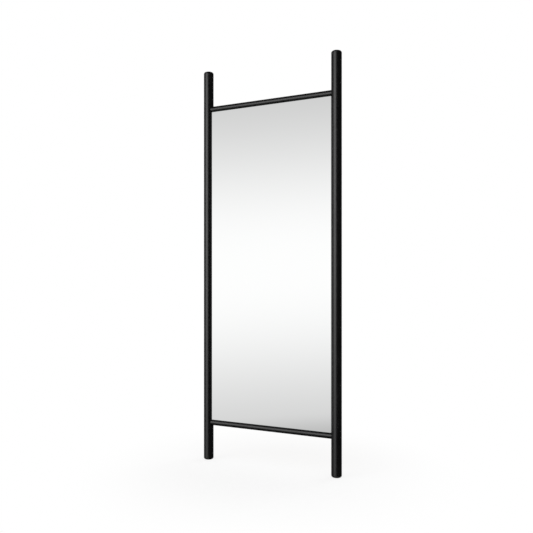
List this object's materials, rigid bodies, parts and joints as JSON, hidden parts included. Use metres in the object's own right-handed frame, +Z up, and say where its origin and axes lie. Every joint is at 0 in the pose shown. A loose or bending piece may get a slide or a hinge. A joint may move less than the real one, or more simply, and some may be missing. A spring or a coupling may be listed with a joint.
{
  "type": "leaning floor mirror",
  "caption": "Tall leaning floor mirror: rectangular mirror glass between round black posts and rails, on a back board with swinging ring hangers.",
  "frame": {"origin": "on the floor, midway between the posts, in the plane of the post axes", "axes": "+X across the mirror to the viewer's right, +Y from the viewer to the wall, +Z up the posts"},
  "size_m": [0.6, 0.04, 1.6],
  "materials": {
    "frame_steel": "black powder coat, satin",
    "cap_plastic": "black moulded plastic, satin",
    "foot_rubber": "black moulded rubber, matt",
    "mirror": "silvered float glass, polished",
    "film": "grey safety film",
    "tape": "white foam mounting tape",
    "board": "bare fibreboard, fine",
    "zinc_steel": "zinc plated",
    "black_screw": "black oxide"
  },
  "bodies": {
    "frame": {"backing_board": "board", "bottom_left_spigot": "frame_steel", "bottom_rail": "frame_steel", "bottom_right_spigot": "frame_steel", "hanger_screws": "zinc_steel", "left_foot_cap": "foot_rubber", "left_hanger_strap": "zinc_steel", "left_lug_bottom": "frame_steel", "left_lug_lower": "frame_steel", "left_lug_top": "frame_steel", "left_lug_upper": "frame_steel", "left_post": "frame_steel", "left_top_cap": "cap_plastic", "mirror_glass": "mirror", "mirror_tapes": "tape", "panel_screws": "zinc_steel", "rail_lock_screws": "black_screw", "right_foot_cap": "foot_rubber", "right_hanger_strap": "zinc_steel", "right_lug_bottom": "frame_steel", "right_lug_lower": "frame_steel", "right_lug_top": "frame_steel", "right_lug_upper": "frame_steel", "right_post": "frame_steel", "right_top_cap": "cap_plastic", "safety_film": "film", "top_left_spigot": "frame_steel", "top_rail": "frame_steel", "top_right_spigot": "frame_steel"},
    "left_ring": {"left_hanger_ring": "zinc_steel"},
    "right_ring": {"right_hanger_ring": "zinc_steel"}
  },
  "joints": [
    {"name": "left_ring_swing", "type": "hinge", "parent": "frame", "child": "left_ring", "pos_m": [-0.17, 0.0115, 1.3095], "axis": [1, 0, 0], "range_deg": [0, 180]},
    {"name": "right_ring_swing", "type": "hinge", "parent": "frame", "child": "right_ring", "pos_m": [0.17, 0.0115, 1.3095], "axis": [1, 0, 0], "range_deg": [0, 180]}
  ]
}
